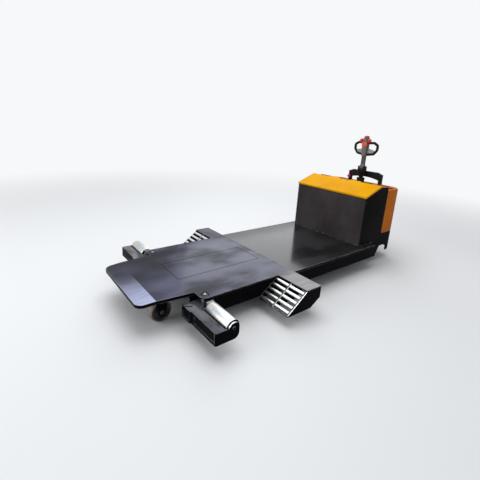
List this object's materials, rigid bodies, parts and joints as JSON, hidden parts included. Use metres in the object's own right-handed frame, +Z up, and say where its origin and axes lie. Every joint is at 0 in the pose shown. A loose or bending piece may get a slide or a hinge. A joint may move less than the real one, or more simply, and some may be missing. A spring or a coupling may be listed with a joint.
{
  "type": "electric tow tractor",
  "caption": "Low walk-behind electric mover: flat deck with fold-out roller arms and roller ramps, battery box with sloping lid, drive unit with tiller.",
  "frame": {"origin": "on the floor, under the middle of the machine's length and width", "axes": "+Z up, +Y from the low nose to the operator's tiller, +X to the right-hand arm"},
  "size_m": [1.66, 3.12, 1.384],
  "materials": {
    "deck_black": "semi-gloss black enamel, scuffed",
    "frame_black": "semi-gloss black enamel",
    "box_black": "satin black powder coat",
    "lid_yellow": "gloss amber yellow",
    "cover_orange": "moulded, semi-gloss",
    "roller_zinc": "zinc plated, faint yellow and blue tint",
    "pin_steel": "blackened steel",
    "rod_chrome": "hard chrome",
    "wheel_tread": "cast polyurethane tread on a dark red core",
    "battery_grey": "matt",
    "carrier_iron": "painted casting",
    "tiller_steel": "satin grey",
    "head_grey": "fine-textured moulding",
    "grip_black": "soft-touch black",
    "paddle_orange": "moulded orange",
    "switch_red": "moulded red"
  },
  "bodies": {
    "root": {"deck_front": "deck_black", "deck_cover": "deck_black", "deck_rear": "deck_black", "frame_rails": "frame_black", "side_rails": "frame_black", "cross_members": "frame_black", "frame_brackets": "frame_black", "pivot_pins": "pin_steel", "ramp_frame_left": "frame_black", "ramp_frame_right": "frame_black", "front_wheel_mounts": "frame_black", "battery_box": "box_black", "battery_pack": "battery_grey", "drive_chassis": "frame_black", "drive_cover": "cover_orange", "grab_bar": "grip_black", "emergency_stop": "switch_red"},
    "lid": {"battery_lid": "lid_yellow"},
    "steering": {"steer_carrier": "carrier_iron"},
    "drive_wheel": {"drive_wheel": "wheel_tread"},
    "tiller": {"tiller_tube": "tiller_steel", "tiller_head": "head_grey", "tiller_grips": "grip_black", "belly_switch": "switch_red", "thumb_paddles": "paddle_orange"},
    "arm_right": {"arm_right": "frame_black"},
    "arm_roller_right": {"arm_roller_right": "roller_zinc"},
    "cylinder_right": {"cylinder_barrel_right": "frame_black"},
    "rod_right": {"cylinder_rod_right": "rod_chrome"},
    "front_wheel_right": {"front_wheel_right": "wheel_tread"},
    "caster_right": {"caster_fork_right": "frame_black"},
    "caster_wheel_right": {"caster_wheel_right": "wheel_tread"},
    "ramp_roller_right_1": {"ramp_roller_right_1": "roller_zinc"},
    "ramp_roller_right_2": {"ramp_roller_right_2": "roller_zinc"},
    "ramp_roller_right_3": {"ramp_roller_right_3": "roller_zinc"},
    "ramp_roller_right_4": {"ramp_roller_right_4": "roller_zinc"},
    "ramp_roller_right_5": {"ramp_roller_right_5": "roller_zinc"},
    "arm_left": {"arm_left": "frame_black"},
    "arm_roller_left": {"arm_roller_left": "roller_zinc"},
    "cylinder_left": {"cylinder_barrel_left": "frame_black"},
    "rod_left": {"cylinder_rod_left": "rod_chrome"},
    "front_wheel_left": {"front_wheel_left": "wheel_tread"},
    "caster_left": {"caster_fork_left": "frame_black"},
    "caster_wheel_left": {"caster_wheel_left": "wheel_tread"},
    "ramp_roller_left_1": {"ramp_roller_left_1": "roller_zinc"},
    "ramp_roller_left_2": {"ramp_roller_left_2": "roller_zinc"},
    "ramp_roller_left_3": {"ramp_roller_left_3": "roller_zinc"},
    "ramp_roller_left_4": {"ramp_roller_left_4": "roller_zinc"},
    "ramp_roller_left_5": {"ramp_roller_left_5": "roller_zinc"}
  },
  "joints": [
    {"name": "lid_hinge", "type": "hinge", "parent": "root", "child": "lid", "pos_m": [0, 1.0882, 0.8818], "axis": [-1, 0, 0], "range_deg": [0, 110]},
    {"name": "steering_turn", "type": "hinge", "parent": "root", "child": "steering", "pos_m": [0, 1.407, 0.25], "axis": [0, 0, 1], "range_deg": [-85, 85]},
    {"name": "drive_wheel_spin", "type": "hinge", "parent": "steering", "child": "drive_wheel", "pos_m": [0, 1.407, 0.115], "axis": [1, 0, 0], "continuous": true},
    {"name": "tiller_tilt", "type": "hinge", "parent": "steering", "child": "tiller", "pos_m": [0, 1.407, 1.003], "axis": [-1, 0, 0], "range_deg": [0, 75], "stiffness_Nm_per_rad": 12, "springref_deg": -34.38},
    {"name": "arm_right_swing", "type": "hinge", "parent": "root", "child": "arm_right", "pos_m": [0.455, -1.098, 0.109], "axis": [0, 0, -1], "range_deg": [0, 90]},
    {"name": "arm_roller_right_spin", "type": "hinge", "parent": "arm_right", "child": "arm_roller_right", "pos_m": [0.83, -1.11, 0.19], "axis": [1, 0, 0], "continuous": true},
    {"name": "cylinder_right_turn", "type": "hinge", "parent": "root", "child": "cylinder_right", "pos_m": [0.23, -0.66, 0.15], "axis": [0, 0, -1], "range_deg": [0, 9.03]},
    {"name": "rod_right_slide", "type": "slide", "parent": "cylinder_right", "child": "rod_right", "axis": [0.3601, -0.9329, 0], "range_m": [-0.1686, 0]},
    {"name": "front_wheel_right_spin", "type": "hinge", "parent": "root", "child": "front_wheel_right", "pos_m": [0.23, -1.342, 0.085], "axis": [1, 0, 0], "continuous": true},
    {"name": "caster_right_swivel", "type": "hinge", "parent": "root", "child": "caster_right", "pos_m": [0.33, 1.315, 0.238], "axis": [0, 0, 1], "continuous": true},
    {"name": "caster_wheel_right_spin", "type": "hinge", "parent": "caster_right", "child": "caster_wheel_right", "pos_m": [0.33, 1.35, 0.05], "axis": [1, 0, 0], "continuous": true},
    {"name": "ramp_roller_right_1_spin", "type": "hinge", "parent": "root", "child": "ramp_roller_right_1", "pos_m": [0.66, -0.43419, 0.21731], "axis": [1, 0, 0], "continuous": true},
    {"name": "ramp_roller_right_2_spin", "type": "hinge", "parent": "root", "child": "ramp_roller_right_2", "pos_m": [0.66, -0.47219, 0.18871], "axis": [1, 0, 0], "continuous": true},
    {"name": "ramp_roller_right_3_spin", "type": "hinge", "parent": "root", "child": "ramp_roller_right_3", "pos_m": [0.66, -0.51019, 0.16011], "axis": [1, 0, 0], "continuous": true},
    {"name": "ramp_roller_right_4_spin", "type": "hinge", "parent": "root", "child": "ramp_roller_right_4", "pos_m": [0.66, -0.54819, 0.13151], "axis": [1, 0, 0], "continuous": true},
    {"name": "ramp_roller_right_5_spin", "type": "hinge", "parent": "root", "child": "ramp_roller_right_5", "pos_m": [0.66, -0.58619, 0.10291], "axis": [1, 0, 0], "continuous": true},
    {"name": "arm_left_swing", "type": "hinge", "parent": "root", "child": "arm_left", "pos_m": [-0.455, -1.098, 0.109], "axis": [0, 0, 1], "range_deg": [0, 90]},
    {"name": "arm_roller_left_spin", "type": "hinge", "parent": "arm_left", "child": "arm_roller_left", "pos_m": [-0.83, -1.11, 0.19], "axis": [1, 0, 0], "continuous": true},
    {"name": "cylinder_left_turn", "type": "hinge", "parent": "root", "child": "cylinder_left", "pos_m": [-0.23, -0.66, 0.15], "axis": [0, 0, 1], "range_deg": [0, 9.03]},
    {"name": "rod_left_slide", "type": "slide", "parent": "cylinder_left", "child": "rod_left", "axis": [-0.3601, -0.9329, 0], "range_m": [-0.1686, 0]},
    {"name": "front_wheel_left_spin", "type": "hinge", "parent": "root", "child": "front_wheel_left", "pos_m": [-0.23, -1.342, 0.085], "axis": [1, 0, 0], "continuous": true},
    {"name": "caster_left_swivel", "type": "hinge", "parent": "root", "child": "caster_left", "pos_m": [-0.33, 1.315, 0.238], "axis": [0, 0, 1], "continuous": true},
    {"name": "caster_wheel_left_spin", "type": "hinge", "parent": "caster_left", "child": "caster_wheel_left", "pos_m": [-0.33, 1.35, 0.05], "axis": [1, 0, 0], "continuous": true},
    {"name": "ramp_roller_left_1_spin", "type": "hinge", "parent": "root", "child": "ramp_roller_left_1", "pos_m": [-0.66, -0.43419, 0.21731], "axis": [1, 0, 0], "continuous": true},
    {"name": "ramp_roller_left_2_spin", "type": "hinge", "parent": "root", "child": "ramp_roller_left_2", "pos_m": [-0.66, -0.47219, 0.18871], "axis": [1, 0, 0], "continuous": true},
    {"name": "ramp_roller_left_3_spin", "type": "hinge", "parent": "root", "child": "ramp_roller_left_3", "pos_m": [-0.66, -0.51019, 0.16011], "axis": [1, 0, 0], "continuous": true},
    {"name": "ramp_roller_left_4_spin", "type": "hinge", "parent": "root", "child": "ramp_roller_left_4", "pos_m": [-0.66, -0.54819, 0.13151], "axis": [1, 0, 0], "continuous": true},
    {"name": "ramp_roller_left_5_spin", "type": "hinge", "parent": "root", "child": "ramp_roller_left_5", "pos_m": [-0.66, -0.58619, 0.10291], "axis": [1, 0, 0], "continuous": true}
  ],
  "couplings": [
    {"joint": "cylinder_right_turn", "follows": "arm_right_swing", "ratio": 0.09981},
    {"joint": "rod_right_slide", "follows": "arm_right_swing", "m_per_rad": -0.10702},
    {"joint": "cylinder_left_turn", "follows": "arm_left_swing", "ratio": 0.09981},
    {"joint": "rod_left_slide", "follows": "arm_left_swing", "m_per_rad": -0.10702}
  ]
}
